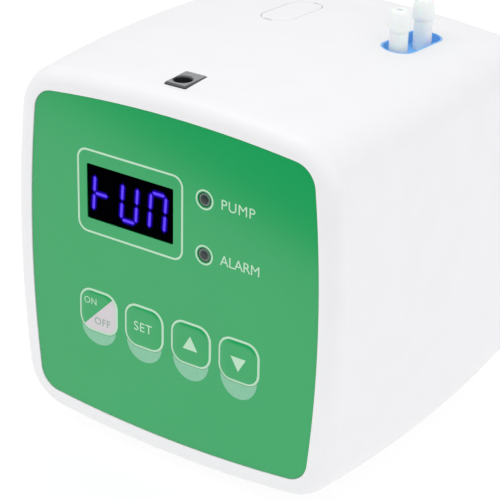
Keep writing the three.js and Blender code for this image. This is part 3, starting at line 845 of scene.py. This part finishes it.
def digits():
    for i, lit in enumerate(LIT):
        middle_x = WINDOW[0] - 12.8 + i * DIGIT_PITCH
        for layer, (thickness, trim, rise, material) in {
            "haze": (2.9, -0.3, 0.01, segment_haze), "halo": (2.0, 0.15, 0.03, segment_halo),
            "core": (1.0, 0.6, 0.05, segment_core),
        }.items():
            for letter in lit:
                ends = []
                for u, v in ENDS[letter]:
                    height = v * DIGIT_HALF_HEIGHT
                    across = u * DIGIT_HALF_WIDTH + height * SLANT
                    ends.append((middle_x + across, WINDOW[1] - 0.15 + height))
                bar = segment_bar(*ends, thickness, trim, FILM_FACE - rise, FILM_FACE + 0.02)
                dress(as_object(bar, f"segment_{i + 1}{letter}_{layer}"), [material])


digits()


def lamp_lenses():
    for lamp, (x, z) in lamp_spots.items():
        deep = 3.0 - FILM_FACE
        profile = [(0, -deep), (LAMP_RADIUS, -deep), (LAMP_RADIUS, -0.25), (2.3, -0.05), (2.0, 0.02),
                   (1.7, 0.06), (0.9, 0.12), (0, 0.14)]
        lens = as_object(turned(profile, spot(x, FILM_FACE, z), (0, -1, 0)), f"lens_{lamp[9:]}")
        lens.data.materials.append(grey_lens)
        lens.data.materials.append(lens_rim_painted_highlight)
        # Faces more than 1.7 mm from the lens's middle take the lighter copy: a painted highlight round the
        # rim
        for face in lens.data.polygons:
            reach = math.hypot(face.center.x / MM - x, (face.center.z - MIDDLE) / MM - z)
            face.material_index = int(reach > 1.7)
        dress(lens, [], stands_for=[lamp])


lamp_lenses()


# ------------------------------------------------------------------ power jack
def power_jack():
    def outline(inside):
        return rounded_box(*JACK_MIDDLE[:2], JACK_SIZE[0] - 2 * inside, JACK_SIZE[1] - 2 * inside,
                           0.6 - inside)

    low, top = jack_low[2], jack_high[2]
    rings = [level(outline(0), low), level(outline(0), top - 0.45), level(outline(0.5), top)]
    block = as_object(loft(rings), "jack_block")
    cone = loft([level(circle(pin_x, pin_depth, JACK_HOLE), top - 0.5),
                 level(circle(pin_x, pin_depth, JACK_HOLE + 0.6), top + 0.1)])
    carve(block, [prism(circle(pin_x, pin_depth, JACK_HOLE), low + 2.5, ABOVE, level), cone,
                  prism(circle(pin_x, pin_depth, 1.3, 20), low - 1, ABOVE, level)])
    mesh = block.data
    mesh.materials.append(jack_nylon)
    mesh.materials.append(black_nylon)
    mesh.materials.append(jack_painted_shade_nylon)
    # Painted shade: the hole's walls take the black nylon and the sides take the darker nylon, while the
    # top keeps the grey
    for face in mesh.polygons:
        centre = face.center
        reach = math.hypot(centre.x / MM - pin_x, (centre.y - FRONT) / MM - pin_depth)
        if reach < JACK_HOLE + 0.2 and (centre.z - MIDDLE) / MM < top - 0.05:
            face.material_index = 1
        elif face.normal.z < 0.95:
            face.material_index = 2
    dress(block, [], stands_for=["dc_jack_housing"])
    pin_low, pin_high = place_of("dc_jack_pin")
    length = pin_high[2] - pin_low[2]
    pin = turned([(0, 0), (1, 0), (1, length - 0.7), (0.75, length - 0.2), (0, length)],
                 spot(pin_x, pin_depth, pin_low[2]), steps=24)
    dress(as_object(pin, "jack_pin"), [nickel], stands_for=["dc_jack_pin"])


power_jack()


# ------------------------------------------------------------------ port well and barbs
BARBS = ["hose_barb_1", "hose_barb_2"]
barb_spots = [middle_of(barb)[:2] for barb in BARBS]


FLANGE_LOW, FLANGE_HIGH, FLANGE_REACH = 64, 66.5, 1.8


def port_well():
    x, depth, _ = WELL_MIDDLE
    wall = 0.7

    def outline(grow):
        return stadium(x, depth, WELL_SIZE[0] - 0.2 + 2 * grow, WELL_SIZE[1] - 0.2 + 2 * grow)

    rings = [level(outline(grow), height) for grow, height in (
        (0, well_low[2]), (0, FLANGE_LOW), (FLANGE_REACH, FLANGE_LOW), (FLANGE_REACH, FLANGE_HIGH),
        (0, FLANGE_HIGH), (0, ABOVE))]
    cup = flush_with_housing(loft(rings), "blue_manifold")
    hollow = [level(outline(-wall - 0.8), WELL_FLOOR), level(outline(-wall - 0.25), WELL_FLOOR + 0.25),
              level(outline(-wall), WELL_FLOOR + 0.8), level(outline(-wall), ABOVE)]
    carve(cup, [loft(hollow)] + [prism(circle(*place, 3.7), 0, ABOVE, level) for place in barb_spots])
    dress(cup, [blue_pp], stands_for=["port_manifold"], bevel=0.25)


port_well()


def barbs():
    for barb, place in zip(BARBS, barb_spots):
        low, high = place_of(barb)
        tip = high[2] - low[2]
        bulge = tip - 7.6
        profile = [
            (1.1, 0), (1.5, 0), (1.5, 7), (3.5, 8.5), (3.5, bulge - 0.6), (4.0, bulge - 0.3),
            (4.25, bulge + 0.3), (4.3, bulge + 1.0), (4.25, bulge + 2.2), (4.0, bulge + 4.2),
            (3.65, bulge + 6.0), (3.35, tip - 0.75), (3.05, tip - 0.25), (2.8, tip - 0.06), (2.5, tip),
            (1.5, tip), (1.1, tip - 0.4), (1.1, 0),
        ]
        piece = as_object(turned(profile, spot(*place, low[2])), f"milky_{barb}")
        dress(piece, [milky_pp], stands_for=[barb])


barbs()
